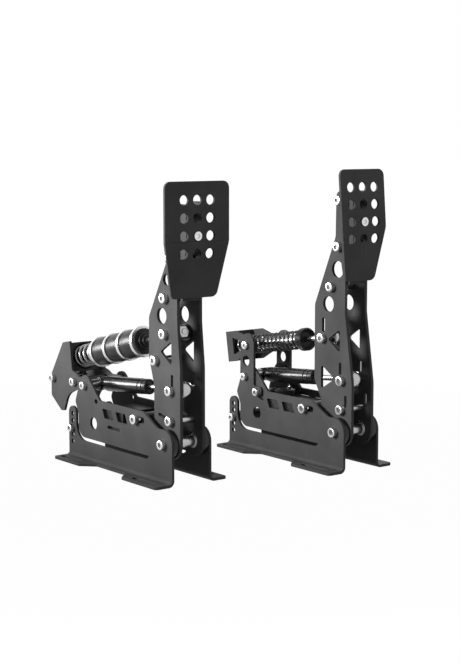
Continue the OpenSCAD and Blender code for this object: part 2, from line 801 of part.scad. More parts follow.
module pad_bracket(p) {
    low = pad_low_z(p) - 3;
    high = arm_top(p) - 2;
    bend = pad_bend_z(p);
    rear = arm_front(p) + arm_top_depth - 0.5;
    face = [[pad_y(p, low) + pad_t, low], [pad_y(p, bend) + pad_t, bend], [pad_y(p, high) + pad_t, high]];
    difference() {
        union() {
            upright(-flange_out, 2 * flange_out)
                polygon(outline([
                    [face[0].x, face[0].y, 0],
                    [face[1].x, face[1].y, pad_bend_r - pad_t],
                    [face[2].x, face[2].y, 0],
                    [face[2].x + bracket_t, face[2].y, 0],
                    [face[1].x + bracket_t, face[1].y, pad_bend_r - pad_t - bracket_t],
                    [face[0].x + bracket_t, face[0].y, 0]
                ]));
            both_sides()
                upright(flange_out - bracket_t, bracket_t)
                    polygon([
                        face[0] + [bracket_t * 0.7, 0], face[1] + [bracket_t * 0.9, 0],
                        face[2] + [bracket_t * 0.7, 0], [rear, high], [rear, bend - 20],
                        [arm_front(p) + 6, low]
                    ]);
        }
        for (row = [0 : 3])
            translate([0, pad_face(p) + 30, grip_z(p, row)])
                rotate([90, 0, 0])
                    cylinder(h = 40, d = row == screw_row ? small_d + 2 * screw_gap : grip_hole_d);
        for (m = marks(p))
            if (m[1] == "bracket") across(m[0], arm_out, large_d + 2 * screw_gap);
    }
}

// Dampers: distances run rearwards from the front pin
module eye_end(bore) {
    difference() {
        union() {
            intersection() {
                sphere(d = ball_d);
                cube([ball_w, 2 * ball_d, 2 * ball_d], center = true);
            }
            cylinder(h = ball_d + 1, d = 0.55 * ball_d);
            translate([0, 0, ball_d + 1]) cylinder(h = 4, d = 0.72 * ball_d, $fn = 6);
        }
        rotate([0, 90, 0]) cylinder(h = 2 * ball_w, d = bore, center = true);
    }
}
eye_len = ball_d + 5;
module damper_body() {
    front = damper_reach - damper_front;
    cap_end = damper_reach - damper_len;
    neck = damper_reach - 10;
    deep = front + damper_cap_len + 30 + damper_stroke + 2;
    r = damper_d / 2;
    hole = damper_rod_d / 2 + run_gap;
    link(crank_pin, damper_tilt)
        difference() {
            union() {
                rotate_extrude()
                    polygon([
                        [hole, front + 1.5], [r - 3, front + 1.5], [r - 2.4, front], [r - 1.2, front],
                        [r - 0.2, front + 1], [r - 0.2, front + 5], [r - 0.9, front + 5.4],
                        [r - 0.9, front + 6.4], [r - 0.2, front + 6.8], [r - 0.2, cap_end - 0.8],
                        [r - 0.8, cap_end - 0.5], [r - 0.8, cap_end + 0.3], [r, cap_end + 0.9],
                        [r, neck - 1], [damper_rear_d / 2, neck], [damper_rear_d / 2, damper_reach],
                        [0, damper_reach], [0, deep], [hole, deep]
                    ]);
                translate([0, 0, damper_reach])
                    rotate([0, 90, 0]) cylinder(h = damper_rear_d, d = damper_rear_d, center = true);
            }
            translate([0, 0, damper_reach])
                rotate([0, 90, 0])
                    cylinder(h = 2 * damper_d, d = damper_pin_d + 2 * run_gap, center = true);
        }
}
module damper_rod() {
    front = damper_reach - damper_front;
    link(crank_pin, damper_tilt)
        translate([0, 0, eye_len]) cylinder(h = front + damper_cap_len + 30 - eye_len, d = damper_rod_d);
}
module damper_eye() {
    link(crank_pin, damper_tilt) eye_end(large_d + 2 * eye_gap);
}

// One unbroken coil along local Z, its wire ends standing square on both seats
function coil_path(r, z0, z1, wire, turns, n = 8) = concat(
    [[r, 0, z0], [r, 0, z0 + wire]],
    [for (i = [1 : turns * n])
        let (a = 360 * i / n, z = z0 + wire + (z1 - z0 - 2 * wire) * i / (turns * n))
        [r * cos(a), r * sin(a), z]],
    [[r * cos(360 * turns), r * sin(360 * turns), z1]]
);
function tangent(path, i) = let (
    a = path[max(i - 1, 0)],
    b = path[min(i + 1, len(path) - 1)]
) (b - a) / norm(b - a);
function ring(path, i, wire, sides) = let (
    t = tangent(path, i),
    out = [path[i].x, path[i].y, 0] / norm([path[i].x, path[i].y, 0]),
    side = cross(t, out) / norm(cross(t, out)),
    lift = cross(side, t)
) [for (k = [0 : sides - 1]) path[i] + wire / 2 * (cos(360 * k / sides) * lift + sin(360 * k / sides) * side)];
module swept(path, wire, sides = 6) {
    count = len(path);
    points = [for (i = [0 : count - 1]) each ring(path, i, wire, sides)];
    walls = [for (i = [0 : count - 2]) for (k = [0 : sides - 1])
        let (a = i * sides + k, b = i * sides + (k + 1) % sides)
        each [[a, b, a + sides], [b, b + sides, a + sides]]];
    start = [for (k = [1 : sides - 2]) [0, k + 1, k]];
    stop = [for (k = [1 : sides - 2]) [0, k, k + 1] + (count - 1) * sides * [1, 1, 1]];
    polyhedron(points = points, faces = concat(walls, start, stop));
}
function self_gap(path, wire) = min([
    for (i = [0 : len(path) - 1]) for (j = [i + 5 : 1 : len(path) - 1]) norm(path[i] - path[j])
]) - wire;

// Brake stack: the rod's nut seats on a flat in the barrel
nut_seat = barrel_d / 2 - 1.5;
nut_t = 4;
module barrel() {
    half = arm_in - side_gap;
    difference() {
        across(brake_pin, half, barrel_d);
        link(brake_pin, stack_tilt)
            cylinder(h = 2 * barrel_d, d = brake_rod_d + 2 * run_gap, center = true);
        link(brake_pin, stack_tilt)
            translate([0, 0, -nut_seat - barrel_d]) cylinder(h = barrel_d, d = 2.1 * brake_rod_d + 1);
        both_sides()
            translate([half - 7, brake_pin.x, brake_pin.y])
                rotate([0, 90, 0]) cylinder(h = 7 + over, d = large_d + 2 * run_gap);
    }
}
module brake_rod() {
    nut_front = -nut_seat - nut_t;
    link(brake_pin, stack_tilt) {
        translate([0, 0, nut_front - 1]) cylinder(h = rod_rear - nut_front + 1, d = brake_rod_d);
        translate([0, 0, nut_front]) cylinder(h = nut_t - run_gap, d = 2.1 * brake_rod_d, $fn = 6);
    }
}
module stack_cup() {
    bore = brake_rod_d / 2 + run_gap;
    r = rubber_d / 2;
    link(brake_pin, stack_tilt)
        rotate_extrude()
            polygon([
                [bore, stack_start - 7], [5.5, stack_start - 7], [6, stack_start - 6.5],
                [6, stack_start - 4.5], [8.5, stack_start - 4.5], [9, stack_start - 4],
                [9, stack_start - 2.6], [r - 2.2, stack_start - 2.6], [r - 1.4, stack_start - 2],
                [r - 1.4, stack_start], [bore, stack_start]
            ]);
}
module stack_washer(n) {
    // Washer 1 meets the spring, washer 4 the cup
    link(brake_pin, stack_tilt)
        turned(washer_d, brake_rod_d + 2 * run_gap, stack_start + (4 - n) * stack_pitch,
               stack_start + (4 - n) * stack_pitch + washer_t);
}
module elastomer(n) {
    z0 = stack_start + (3 - n) * stack_pitch + washer_t;
    r = rubber_d / 2;
    bore = brake_rod_d / 2 + 1;
    bow = 0.5;
    link(brake_pin, stack_tilt)
        rotate_extrude()
            polygon(concat(
                [[bore, z0], [r - 1.2, z0]],
                [for (i = [0 : 8]) [r + bow * sin(180 * i / 8) - 0.2, z0 + 1.2 + (rubber_len - 2.4) * i / 8]],
                [[r - 1.2, z0 + rubber_len], [bore, z0 + rubber_len]]
            ));
}
module brake_spring() {
    path = coil_path((brake_spring_d - brake_wire) / 2, stack_rear, seat_at, brake_wire, brake_turns);
    echo("brake spring self gap", self_gap(path, brake_wire));
    link(brake_pin, stack_tilt) swept(path, brake_wire);
}

// Brake housing
cheek_in = base_in - cheek_t;
function cheek_edge() = let (f = cheek_bar_front, r = cheek_bar_rear, p = damper_pin) [
    [f.x + 9.7, cheek_top, 1.5],
    [r.x - 19.1, cheek_top - 2.8, 3],
    [r.x + cheek_back, r.y + 3.3, 3],
    [r.x + cheek_back, r.y - 20.3, 3],
    [r.x - 14.5, r.y - 34.7, 2.5],
    [r.x - 20.5, r.y - 34.1, 1.2],
    [f.x + 14.1, f.y - 15.5, 20],
    [f.x - 3, f.y - 8.4, 6],
    [f.x - 9, f.y - 6.5, 3],
    [p.x - 7.5, p.y - 7, 6.5],
    [p.x - 7.5, p.y + 7, 6.5],
    [f.x - 9, f.y + 6, 3],
    [f.x - 2, f.y + 9.6, 6],
    [f.x + 5.6, f.y + 11, 4]
];
module housing_cheek() {
    upright(cheek_in, cheek_t)
        difference() {
            polygon(outline(cheek_edge()));
            translate(damper_pin) circle(d = damper_pin_d + 2 * run_gap);
            translate(cheek_bar_front) circle(d = small_d + 2 * screw_gap);
            translate(cheek_bar_rear) circle(d = small_d + 2 * screw_gap);
        }
}
module housing_bars() {
    across_tube(cheek_bar_front, -cheek_in, cheek_in, cheek_bar_d, small_d + 2 * run_gap);
    across_tube(cheek_bar_rear, -cheek_in, cheek_in, cheek_bar_d, small_d + 2 * run_gap);
}
module spring_seat() {
    // A cross plate between the cheeks with a cup behind it; the gland is the cable's way out
    front = seat_at - seat_cup_deep;
    link(brake_pin, stack_tilt)
        difference() {
            union() {
                translate([-cheek_in, -seat_cup_d / 2, front])
                    cube([2 * cheek_in, seat_cup_d, seat_t]);
                translate([0, 0, front]) cylinder(h = seat_floor + seat_t - front, d = seat_cup_d);
                translate([0, seat_cup_d / 2 - 1, seat_at])
                    rotate([-90, 0, 0]) cylinder(h = 4, d = cell_t + 2);
            }
            translate([0, 0, front - over])
                cylinder(h = seat_floor - front + over, d = seat_cup_d - 2 * seat_wall);
            cylinder(h = 2 * rod_rear, d = brake_rod_d + 2 * eye_gap);
        }
}
module load_cell() {
    link(brake_pin, stack_tilt)
        turned(seat_cup_d - 2 * seat_wall - 2 * run_gap, brake_rod_d + 3, seat_at, seat_floor);
}
module wiring_box(at, size) {
    // A closed box between the base plates, with a fine groove along its lid
    difference() {
        translate([-base_in, at.x, at.y]) cube([2 * base_in, size.x, size.y]);
        translate([-over / 2, at.x + lid_inset, at.y + size.y - over / 2])
            cube([over, size.x - 2 * lid_inset, over]);
    }
}

// Throttle ears, carrier, spring and sensor
module ears() {
    foot = side_hole;
    top = trunnion.y + ear_rise;
    bend = (ear_edges.y - ear_edges.x) / 2 - nib;
    both_sides()
        upright(base_out, sheet)
            difference() {
                polygon(outline([
                    [ear_edges.x, top, bend],
                    [ear_edges.y, top, bend],
                    [ear_edges.y + 0.8, damper_pin.y - 1, 5],
                    [foot.x + 6, foot.y - 4.8, 4],
                    [foot.x - 5.5, foot.y - 4.8, 4.6],
                    [foot.x - 6.5, foot.y + 5.5, 4],
                    [ear_edges.x, foot.y + 5.5, 2.5]
                ]));
                translate(trunnion) circle(d = large_d + 2 * screw_gap);
                translate(damper_pin) circle(d = small_d + 2 * screw_gap);
                translate(foot) circle(d = small_d + 2 * screw_gap);
                translate((trunnion + damper_pin) / 2) circle(d = bend);
            }
}
module spring_carrier() {
    translate([0, trunnion.x, trunnion.y])
        rotate([-spring_tilt, 0, 0])
            difference() {
                union() {
                    both_sides()
                        upright(carrier_out - carrier_t, carrier_t)
                            difference() {
                                polygon(outline([
                                    [-8.5, 8.5, 8.4], [7, 8.5, 6], [27, carrier_half, 4],
                                    [carrier_len, carrier_half, 1.5], [carrier_len, -carrier_half, 1.5],
                                    [31, -carrier_half, 4], [7, -8.5, 6], [-8.5, -8.5, 8.4]
                                ]));
                                polygon(outline([
                                    [20, 5.2, 1], [carrier_len - 11, 9.6, 1],
                                    [carrier_len - 11, -9.6, 1], [20, -5.2, 1]
                                ], 3));
                                circle(d = large_d + 2 * run_gap);
                            }
                    translate([-carrier_out, carrier_len - carrier_t, -carrier_half])
                        cube([carrier_w, carrier_t, 2 * carrier_half]);
                }
                translate([0, carrier_len + over, 0])
                    rotate([90, 0, 0]) cylinder(h = carrier_t + 2 * over, d = sleeve_d + 2 * sleeve_gap);
            }
}
module throttle_spring() {
    path = coil_path((throttle_spring_d - throttle_wire) / 2, knob_rear, web_front, throttle_wire,
                     throttle_turns);
    echo("throttle spring self gap", self_gap(path, throttle_wire));
    link(throttle_pin, spring_tilt) swept(path, throttle_wire);
}
module guide_sleeve() {
    link(throttle_pin, spring_tilt)
        turned(sleeve_d, spring_rod_d + 2 * run_gap, sleeve_start, web_front + carrier_t);
}
module spring_rod() {
    link(throttle_pin, spring_tilt) {
        eye_end(large_d + 2 * run_gap);
        translate([0, 0, eye_len]) cylinder(h = knob_rear + 40 - eye_len, d = spring_rod_d);
    }
}
module spring_knob() {
    teeth = 40;
    link(throttle_pin, spring_tilt)
        difference() {
            translate([0, 0, knob_start])
                linear_extrude(knob_len)
                    polygon([for (i = [0 : 2 * teeth - 1])
                        (knob_d / 2 - (i % 2) * 0.7) * [cos(180 * i / teeth), sin(180 * i / teeth)]]);
            translate([0, 0, sleeve_start - run_gap])
                cylinder(h = knob_len, d = sleeve_d + 2 * run_gap);
            cylinder(h = 2 * knob_rear, d = spring_rod_d + 2 * run_gap);
            translate([0, 0, knob_start - run_gap])
                cylinder(h = knob_dish + run_gap, d1 = knob_d - 3.5, d2 = knob_d - 9);
        }
}
module sensor() {
    // A round sensor on a box between the base plates
    y = damper_pin.x - 29.5;
    top = damper_pin.y - 20.5;
    base_y = y + sensor_d / 2 + 2;
    translate([-base_in, sensor_box_y, top - sensor_box_h])
        cube([2 * base_in, base_y - sensor_box_y, sensor_box_h]);
    translate([0, y, top - over]) {
        cylinder(h = over + sensor_h - 3, d = sensor_d);
        cylinder(h = over + sensor_h - 2, d = sensor_d - 5);
        cylinder(h = over + sensor_h - 1, d = sensor_d - 14);
    }
}

at_pedal(brake) color(powder) mirror([1, 0, 0]) base_plate(brake);  // brake_base_left
at_pedal(brake) color(powder) base_plate(brake);  // brake_base_right
at_pedal(brake) color(black) base_bars(brake);  // brake_base_bars
at_pedal(brake) color(steel) pivot_shaft();  // brake_pivot_shaft
at_pedal(brake) color(black) pivot_discs();  // brake_pivot_discs
at_pedal(brake) color(zinc) base_screws(brake);  // brake_base_screws
at_pedal(brake) color(powder) mirror([1, 0, 0]) arm_plate(brake);  // brake_arm_left
at_pedal(brake) color(powder) arm_plate(brake);  // brake_arm_right
at_pedal(brake) color(steel) bearing_tube();  // brake_bearing_tube
at_pedal(brake) color(steel) arm_spacers(brake);  // brake_arm_spacers
at_pedal(brake) color(zinc) arm_screws(brake);  // brake_arm_screws
at_pedal(brake) color(powder) pad_bracket(brake);  // brake_pad_bracket
at_pedal(brake) color(powder) pad(brake);  // brake_pad
at_pedal(brake) color(zinc) pad_screw(brake);  // brake_pad_screw
at_pedal(brake) color(black) damper_body();  // brake_damper_body
at_pedal(brake) color(steel) damper_rod();  // brake_damper_rod
at_pedal(brake) color(steel) damper_eye();  // brake_damper_eye
at_pedal(brake) color(steel) damper_rear_pin(brake);  // brake_damper_pin
at_pedal(brake) color(powder) mirror([1, 0, 0]) housing_cheek();  // housing_left
at_pedal(brake) color(powder) housing_cheek();  // housing_right
at_pedal(brake) color(black) housing_bars();
at_pedal(brake) color(black) spring_seat();
at_pedal(brake) color(steel) load_cell();
at_pedal(brake) color(black) barrel();  // brake_barrel
at_pedal(brake) color(zinc) brake_rod();
at_pedal(brake) color(black) stack_cup();
at_pedal(brake) color(zinc) stack_washer(1);  // stack_washer_1
at_pedal(brake) color(zinc) stack_washer(2);  // stack_washer_2
at_pedal(brake) color(zinc) stack_washer(3);  // stack_washer_3
at_pedal(brake) color(zinc) stack_washer(4);  // stack_washer_4
at_pedal(brake) color(rubber) elastomer(1);  // elastomer_1
at_pedal(brake) color(rubber) elastomer(2);  // elastomer_2
at_pedal(brake) color(rubber) elastomer(3);  // elastomer_3
at_pedal(brake) color(black) brake_spring();
at_pedal(brake) color(black) wiring_box(signal_box_at, signal_box_size);  // signal_box
at_pedal(throttle) color(powder) mirror([1, 0, 0]) base_plate(throttle);  // throttle_base_left
at_pedal(throttle) color(powder) base_plate(throttle);  // throttle_base_right
at_pedal(throttle) color(black) base_bars(throttle);  // throttle_base_bars
at_pedal(throttle) color(steel) pivot_shaft();  // throttle_pivot_shaft
at_pedal(throttle) color(black) pivot_discs();  // throttle_pivot_discs
at_pedal(throttle) color(zinc) base_screws(throttle);  // throttle_base_screws
at_pedal(throttle) color(powder) mirror([1, 0, 0]) arm_plate(throttle);  // throttle_arm_left
at_pedal(throttle) color(powder) arm_plate(throttle);  // throttle_arm_right
at_pedal(throttle) color(steel) bearing_tube();  // throttle_bearing_tube
at_pedal(throttle) color(steel) arm_spacers(throttle);  // throttle_arm_spacers
at_pedal(throttle) color(zinc) arm_screws(throttle);  // throttle_arm_screws
at_pedal(throttle) color(powder) pad_bracket(throttle);  // throttle_pad_bracket
at_pedal(throttle) color(powder) pad(throttle);  // throttle_pad
at_pedal(throttle) color(zinc) pad_screw(throttle);  // throttle_pad_screw
at_pedal(throttle) color(black) damper_body();  // throttle_damper_body
at_pedal(throttle) color(steel) damper_rod();  // throttle_damper_rod
at_pedal(throttle) color(steel) damper_eye();  // throttle_damper_eye
at_pedal(throttle) color(steel) damper_rear_pin(throttle);  // throttle_damper_pin
at_pedal(throttle) color(powder) ears();  // throttle_ears
at_pedal(throttle) color(powder) spring_carrier();
at_pedal(throttle) color(steel) throttle_spring();
at_pedal(throttle) color(steel) guide_sleeve();
at_pedal(throttle) color(steel) spring_rod();
at_pedal(throttle) color(black) spring_knob();
at_pedal(throttle) color(black) sensor();
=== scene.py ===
import json
from math import atan2, ceil, cos, hypot, pi, radians, sin

import bmesh
import bpy
from mathutils import Matrix, Vector

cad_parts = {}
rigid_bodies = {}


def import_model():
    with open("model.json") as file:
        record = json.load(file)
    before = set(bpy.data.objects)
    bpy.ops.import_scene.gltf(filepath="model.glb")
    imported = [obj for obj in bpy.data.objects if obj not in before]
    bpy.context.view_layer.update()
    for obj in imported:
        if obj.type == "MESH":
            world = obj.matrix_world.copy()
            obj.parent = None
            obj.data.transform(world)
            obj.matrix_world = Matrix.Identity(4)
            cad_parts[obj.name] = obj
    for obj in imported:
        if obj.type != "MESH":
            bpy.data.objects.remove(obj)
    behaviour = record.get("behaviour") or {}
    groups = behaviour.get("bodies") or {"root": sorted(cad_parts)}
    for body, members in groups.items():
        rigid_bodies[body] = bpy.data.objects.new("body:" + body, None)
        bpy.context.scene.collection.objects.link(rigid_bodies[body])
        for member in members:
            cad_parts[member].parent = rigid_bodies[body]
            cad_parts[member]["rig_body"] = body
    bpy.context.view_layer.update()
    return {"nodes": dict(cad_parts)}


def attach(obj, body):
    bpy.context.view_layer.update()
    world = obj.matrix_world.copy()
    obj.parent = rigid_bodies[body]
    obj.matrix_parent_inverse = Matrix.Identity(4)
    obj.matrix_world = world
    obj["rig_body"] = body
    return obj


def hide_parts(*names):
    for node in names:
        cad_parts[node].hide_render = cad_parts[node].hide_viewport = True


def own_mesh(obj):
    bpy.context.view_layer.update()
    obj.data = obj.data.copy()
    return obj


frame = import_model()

scene = bpy.context.scene

# --- Camera -----------------------------------------------------------------------------------
# A long lens at the left front of the two pedals, a little above them and looking slightly down.
# Its place and turn follow from the perspective of the two base plates.
lens = bpy.data.cameras.new("camera")
lens.sensor_fit = "VERTICAL"
lens.sensor_height = 24
lens.lens = 56.02
lens.clip_end = 60
camera = bpy.data.objects.new("camera", lens)
camera.location = (-0.9847, -1.32145, 0.3495)
camera.rotation_euler = (radians(82.7), 0, radians(-37.44))
scene.collection.objects.link(camera)
scene.camera = camera
scene.view_settings.view_transform = "Standard"


# --- Studio -----------------------------------------------------------------------------------
# A white floor that keeps a faint shadow, in white surroundings that hardly light the object.
# Soft lamps stand at the left, behind and at the right. Two glowing cards that the camera doesn't
# see light the pads and the feet, and the low one also keeps the brake's key off its flanges.
def linear(colour):
    # An sRGB hex colour as the shaders take it
    parts = [int(colour[i:i + 2], 16) / 255 for i in (1, 3, 5)]
    return [c / 12.92 if c <= 0.04045 else ((c + 0.055) / 1.055) ** 2.4 for c in parts] + [1]


def add(tree, kind, values=None, links=None, **settings):
    # A new node, with its settings, its sockets' values and what is linked to them
    made = tree.nodes.new(kind)
    for name, value in settings.items():
        setattr(made, name, value)
    for name, value in (values or {}).items():
        made.inputs[name].default_value = value
    for name, source in (links or {}).items():
        tree.links.new(source, made.inputs[name])
    return made


def seen(tree):
    # 1 for what the camera sees, directly or through a gloss or clear surface
    path = add(tree, "ShaderNodeLightPath")
    gloss = add(tree, "ShaderNodeMath", operation="MAXIMUM",
                links={0: path.outputs["Is Camera Ray"], 1: path.outputs["Is Glossy Ray"]})
    clear = add(tree, "ShaderNodeMath", operation="MAXIMUM",
                links={0: gloss.outputs[0], 1: path.outputs["Is Transmission Ray"]})
    return clear.outputs[0]


room = bpy.data.worlds.new("white_studio")
scene.world = room
room.use_nodes = True
tree = room.node_tree
tree.nodes.clear()
dim = add(tree, "ShaderNodeBackground", {"Color": linear("#ffffff"), "Strength": 0.025})
white = add(tree, "ShaderNodeBackground", {"Color": linear("#ffffff"), "Strength": 1})
mixed = add(tree, "ShaderNodeMixShader",
            links={0: seen(tree), 1: dim.outputs[0], 2: white.outputs[0]})
add(tree, "ShaderNodeOutputWorld", links={"Surface": mixed.outputs[0]})

# Matt paper that takes the shadow, under a white glow that covers nearly all of it. The glow's
# share grows with the distance, so the floor has no far edge.
paper = bpy.data.materials.new("white_paper_floor")
paper.use_nodes = True
tree = paper.node_tree
tree.nodes.clear()
matt = add(tree, "ShaderNodeBsdfDiffuse", {"Color": linear("#2c2c2c")})
glow = add(tree, "ShaderNodeEmission", {"Color": linear("#ffffff"), "Strength": 1.03})
spot = add(tree, "ShaderNodeTexCoord")
distance = add(tree, "ShaderNodeVectorMath", links={0: spot.outputs["Object"]},
               operation="LENGTH")
fade = add(tree, "ShaderNodeMapRange",
           {"From Min": 0.3, "From Max": 1.1, "To Min": 0.955, "To Max": 1},
           {"Value": distance.outputs["Value"]}, interpolation_type="SMOOTHSTEP")
share = add(tree, "ShaderNodeMath", links={0: seen(tree), 1: fade.outputs["Result"]},
            operation="MULTIPLY")
mixed = add(tree, "ShaderNodeMixShader",
            links={0: share.outputs[0], 1: matt.outputs[0], 2: glow.outputs[0]})
add(tree, "ShaderNodeOutputMaterial", links={"Surface": mixed.outputs[0]})

# A dark card that gives off a soft white light, which also shows in the screws and tubes
glowing_card = bpy.data.materials.new("glowing_card")
glowing_card.use_nodes = True
board = glowing_card.node_tree.nodes["Principled BSDF"]
board.inputs["Base Color"].default_value = linear("#161616")
board.inputs["Emission Color"].default_value = linear("#ffffff")
board.inputs["Emission Strength"].default_value = 1.05
board.inputs["Roughness"].default_value = 1


def sheet_of(name, corners, material):
    mesh = bpy.data.meshes.new(name)
    mesh.from_pydata(corners, [], [(0, 1, 2, 3)])
    mesh.materials.append(material)
    made = bpy.data.objects.new(name, mesh)
    scene.collection.objects.link(made)
    return made


sheet_of("floor", [(-15, -15, 0), (15, -15, 0), (15, 15, 0), (-15, 15, 0)], paper)
front_flag = sheet_of("front_flag", [(-0.1, -1.05, 0.02), (1.8, -0.75, 0.02), (1.8, -0.75, 1.4),
                                     (-0.1, -1.05, 1.4)], glowing_card)
low_flag = sheet_of("low_flag", [(-0.5, -0.7, 0.01), (-0.5, 0.5, 0.01), (-0.5, 0.5, 0.185),
                                 (-0.5, -0.7, 0.185)], glowing_card)
for card in (front_flag, low_flag):
    card.visible_camera = False
low_flag.visible_glossy = False

# Each lamp's place, width and height in metres, and its power in watts. All of them point at the
# middle of the object.
aim_height = 0.13
lamps = {}
for name, stand, wide, high, watts in (
        ("brake_key", (-2.6, 0.7, 1.1), 1.3, 1.0, 182),
        ("throttle_key", (-2.6, 0.7, 1.1), 1.3, 1.0, 142),
        ("rim_lamp", (-1.25, 1.75, 0.42), 0.7, 0.6, 40),
        ("back_lamp", (-0.2, 1.3, 1.5), 0.9, 0.9, 8),
        ("right_fill", (2.4, 0.9, 0.8), 1.3, 1.0, 38)):
    lamp = bpy.data.lights.new(name, "AREA")
    lamp.shape = "RECTANGLE"
    lamp.size = wide
    lamp.size_y = high
    lamp.energy = watts
    holder = bpy.data.objects.new(name, lamp)
    holder.location = stand
    away = Vector(stand)
    away.z -= aim_height
    holder.rotation_euler = away.to_track_quat("Z", "Y").to_euler()
    scene.collection.objects.link(holder)
    lamps[name] = holder


# --- Base plates, ears and housing cheeks ------------------------------------------------------
# Laser-cut steel sheet. The bases have a folded flange at the foot, the spring's carrier two
# folded cheeks. Powder coated in black: an even, slightly rough skin that hides the metal
# altogether and turns grey where light falls on it.
def surface(name, values):
    # A new material, its shader with the values that are the same all over, and the object's own
    # coordinates, in metres, for its patterns
    made = bpy.data.materials.new(name)
    made.use_nodes = True
    tree = made.node_tree
    skin = tree.nodes["Principled BSDF"]
    for socket, value in values.items():
        skin.inputs[socket].default_value = value
    return made, tree, skin, add(tree, "ShaderNodeTexCoord").outputs["Object"]


def per(size):
    # The scale at which a pattern's grains or clouds are this many millimetres across
    return 1000 / size


powder_coat, tree, skin, place = surface(
    "powder_coated_steel", {"Roughness": 0.55, "Specular IOR Level": 0.08})
cloud = add(tree, "ShaderNodeTexNoise", {"Scale": per(35), "Detail": 3}, {"Vector": place})
tone = add(tree, "ShaderNodeValToRGB", links={"Fac": cloud.outputs["Fac"]})
for stop, position, colour in zip(tone.color_ramp.elements, (0.35, 0.65), ("#424242", "#4a4a4a")):
    stop.position, stop.color = position, linear(colour)
tree.links.new(tone.outputs["Color"], skin.inputs["Base Color"])
# The real grain is 0.2 mm across; drawn at 0.7 mm so that it shows
grain = add(tree, "ShaderNodeTexNoise", {"Scale": per(0.7), "Detail": 2}, {"Vector": place})
relief = add(tree, "ShaderNodeBump", {"Strength": 0.12, "Distance": 0.0002},
             {"Height": grain.outputs["Fac"]})
tree.links.new(relief.outputs["Normal"], skin.inputs["Normal"])

# Faces that meet flatter than this are one face, edges sharper than this are rounded, and shading
# breaks at edges sharper than this
same_face, rounded_edge, crease = radians(0.6), radians(32), radians(48)


def settle(name, solid, material, node, replacing=True):
    # A finished mesh as a piece, which rides as a CAD node does and mostly takes its place
    mesh = bpy.data.meshes.new(name)
    solid.to_mesh(mesh)
    solid.free()
    mesh.materials.append(material)
    mesh.shade_smooth()
    mesh.set_sharp_from_angle(angle=crease)
    made = bpy.data.objects.new(name, mesh)
    scene.collection.objects.link(made)
    even = made.modifiers.new("even_faces", "WEIGHTED_NORMAL")
    even.keep_sharp = True
    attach(made, frame["nodes"][node]["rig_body"])
    if replacing:
        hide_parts(node)
    return made


def dressed(node, material, edge):
    # A copy of the CAD solid that takes its place, its edges rounded by so many millimetres
    solid = bmesh.new()
    solid.from_mesh(frame["nodes"][node].data)
    bmesh.ops.remove_doubles(solid, verts=solid.verts, dist=1e-6)
    bmesh.ops.dissolve_limit(solid, angle_limit=same_face, verts=solid.verts, edges=solid.edges)
    corners = [e for e in solid.edges if e.is_manifold and e.calc_face_angle() > rounded_edge]
    bmesh.ops.bevel(solid, geom=corners, offset=edge / 1000, offset_type="OFFSET", segments=2,
                    profile=0.5, affect="EDGES", clamp_overlap=False)
    settle(node + "_part", solid, material, node)


for node in ("brake_base_left", "brake_base_right", "throttle_base_left", "throttle_base_right",
             "housing_left", "housing_right", "throttle_ears", "spring_carrier"):
    dressed(node, powder_coat, 0.35)

# --- Arms, pad brackets and pads ---------------------------------------------------------------
# Two plates for each arm and a folded bracket behind each pad plate, all cut and coated as the
# bases are. The pads are bent once across and have rounded corners.
for pedal in ("brake", "throttle"):
    for part, edge in (("arm_left", 0.35), ("arm_right", 0.35), ("pad_bracket", 0.3),
                       ("pad", 0.45)):
        dressed(pedal + "_" + part, powder_coat, edge)

# --- Bars, pivot discs, barrel, cup and seat ---------------------------------------------------
# Turned and milled steel, blackened in a hot oxide bath and oiled: near black with a dull metal
# gloss. The round parts are turned anew here, with finer rings than the solids have.
black_oxide, tree, skin, place = surface(
    "black_oxide_steel", {"Base Color": linear("#171717"), "Metallic": 0.35})
oil = add(tree, "ShaderNodeTexNoise", {"Scale": per(4), "Detail": 3}, {"Vector": place})
wet = add(tree, "ShaderNodeMapRange", {"To Min": 0.28, "To Max": 0.46},
          {"Value": oil.outputs["Fac"]})
tree.links.new(wet.outputs["Result"], skin.inputs["Roughness"])

# Each pedal's middle and the front end of its base, in mm. A place on a pedal is given as
# millimetres behind that end and above the floor, such as its pivot's.
home = {"brake": (-89.0, -89.05), "throttle": (89.0, -144.05)}
pivot, brake_pin = (14.5, 41.5), (23.2, 151)
# The faces of the base and arm plates, from the pedal's middle
base_out, base_in, arm_out, arm_in = 24.5, 21.5, 15.5, 12
# Radii: half of an M6 screw's clear hole, the pivot's shaft, and the discs on it
m6_hole, shaft_r, disc_r = 3.05, 5, 14.5
# The stack slopes down to the rear. It starts so far behind the brake's pin.
stack_tilt, stack_start, washer_t, washer_r, rubber_len, rubber_r = 13.85, 62, 3.8, 16.5, 23, 15


def spot_on(pedal, at, x=0):
    return Matrix.Translation(
        ((home[pedal][0] + x) / 1000, (home[pedal][1] + at[0]) / 1000, at[1] / 1000))


def along(pedal, at, tilt):
    # Millimetres from a point to the rear, down a slope of so many degrees
    return spot_on(pedal, at) @ Matrix.Rotation(radians(-90 - tilt), 4, "X") \
        @ Matrix.Scale(0.001, 4)


def across(pedal, at, x=0, side=1):
    # Millimetres across the pedal, to the right or, where side is -1, to the left
    return spot_on(pedal, at, x) @ Matrix.Rotation(radians(90 * side), 4, "Y") \
        @ Matrix.Scale(0.001, 4)


